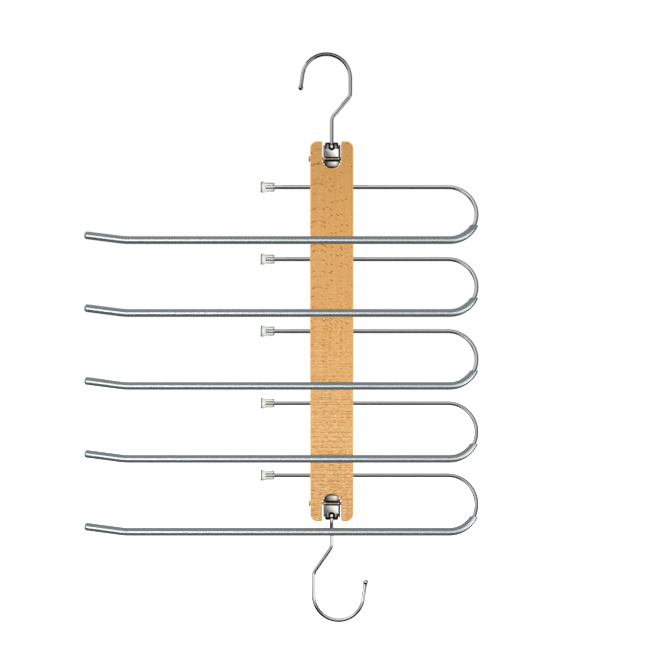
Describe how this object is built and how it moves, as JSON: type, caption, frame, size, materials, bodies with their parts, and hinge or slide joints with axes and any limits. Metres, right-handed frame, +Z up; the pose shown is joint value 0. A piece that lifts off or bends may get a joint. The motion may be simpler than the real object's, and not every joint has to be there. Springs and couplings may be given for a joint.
{
  "type": "space saving hanger",
  "caption": "Flat wooden spine with swivelling, folding wire hooks at both ends and bent wire arms in grip sleeves that slide and swing, for hanging folded trousers one above another.",
  "frame": {"origin": "the inside of the top hook's crown, where the rail lies, in the middle of the wire", "axes": "+Z up along the spine, +X towards the arms' closed bends, -Y towards the lower limbs, the front"},
  "size_m": [0.3936, 0.0261, 0.5744],
  "materials": {
    "beech": "satin",
    "chromed_steel_wire": "polished",
    "pressed_steel": "polished",
    "slate_pvc": "satin",
    "clear_pvc": "clear"
  },
  "bodies": {
    "top_hook": {"top_hook": "chromed_steel_wire"},
    "top_bracket": {"top_bracket": "pressed_steel"},
    "spine": {"wooden_spine": "beech", "top_hinge_pin": "pressed_steel", "bottom_hinge_pin": "pressed_steel"},
    "arm_1_slider": {"arm_1_end_cap": "clear_pvc"},
    "arm_1": {"arm_1_rod": "chromed_steel_wire", "arm_1_sleeve": "slate_pvc"},
    "arm_2_slider": {"arm_2_end_cap": "clear_pvc"},
    "arm_2": {"arm_2_rod": "chromed_steel_wire", "arm_2_sleeve": "slate_pvc"},
    "arm_3_slider": {"arm_3_end_cap": "clear_pvc"},
    "arm_3": {"arm_3_rod": "chromed_steel_wire", "arm_3_sleeve": "slate_pvc"},
    "arm_4_slider": {"arm_4_end_cap": "clear_pvc"},
    "arm_4": {"arm_4_rod": "chromed_steel_wire", "arm_4_sleeve": "slate_pvc"},
    "arm_5_slider": {"arm_5_end_cap": "clear_pvc"},
    "arm_5": {"arm_5_rod": "chromed_steel_wire", "arm_5_sleeve": "slate_pvc"},
    "bottom_bracket": {"bottom_bracket": "pressed_steel"},
    "bottom_hook": {"bottom_hook": "chromed_steel_wire"}
  },
  "joints": [
    {"name": "top_hook_swivel", "type": "hinge", "parent": "top_hook", "child": "top_bracket", "pos_m": [0.0054, 0, -0.0914], "axis": [0, 0, 1], "continuous": true},
    {"name": "top_hook_fold", "type": "hinge", "parent": "top_bracket", "child": "spine", "pos_m": [0.0054, 0, -0.1037], "axis": [1, 0, 0], "range_deg": [-90, 90]},
    {"name": "arm_1_slide", "type": "slide", "parent": "spine", "child": "arm_1_slider", "axis": [1, 0, 0], "range_m": [-0.095, 0.0355]},
    {"name": "arm_1_swing", "type": "hinge", "parent": "arm_1_slider", "child": "arm_1", "pos_m": [0.0054, 0, -0.1322], "axis": [-1, 0, 0], "range_deg": [0, 135]},
    {"name": "arm_2_slide", "type": "slide", "parent": "spine", "child": "arm_2_slider", "axis": [1, 0, 0], "range_m": [-0.095, 0.0355]},
    {"name": "arm_2_swing", "type": "hinge", "parent": "arm_2_slider", "child": "arm_2", "pos_m": [0.0054, 0, -0.20483], "axis": [-1, 0, 0], "range_deg": [0, 135]},
    {"name": "arm_3_slide", "type": "slide", "parent": "spine", "child": "arm_3_slider", "axis": [1, 0, 0], "range_m": [-0.095, 0.0355]},
    {"name": "arm_3_swing", "type": "hinge", "parent": "arm_3_slider", "child": "arm_3", "pos_m": [0.0054, 0, -0.27745], "axis": [-1, 0, 0], "range_deg": [0, 135]},
    {"name": "arm_4_slide", "type": "slide", "parent": "spine", "child": "arm_4_slider", "axis": [1, 0, 0], "range_m": [-0.095, 0.0355]},
    {"name": "arm_4_swing", "type": "hinge", "parent": "arm_4_slider", "child": "arm_4", "pos_m": [0.0054, 0, -0.35008], "axis": [-1, 0, 0], "range_deg": [0, 135]},
    {"name": "arm_5_slide", "type": "slide", "parent": "spine", "child": "arm_5_slider", "axis": [1, 0, 0], "range_m": [-0.095, 0.0355]},
    {"name": "arm_5_swing", "type": "hinge", "parent": "arm_5_slider", "child": "arm_5", "pos_m": [0.0054, 0, -0.4227], "axis": [-1, 0, 0], "range_deg": [0, 135]},
    {"name": "bottom_hook_fold", "type": "hinge", "parent": "spine", "child": "bottom_bracket", "pos_m": [0.0054, 0, -0.4512], "axis": [1, 0, 0], "range_deg": [-14, 90]},
    {"name": "bottom_hook_swivel", "type": "hinge", "parent": "bottom_bracket", "child": "bottom_hook", "pos_m": [0.0054, 0, -0.4635], "axis": [0, 0, 1], "continuous": true}
  ]
}
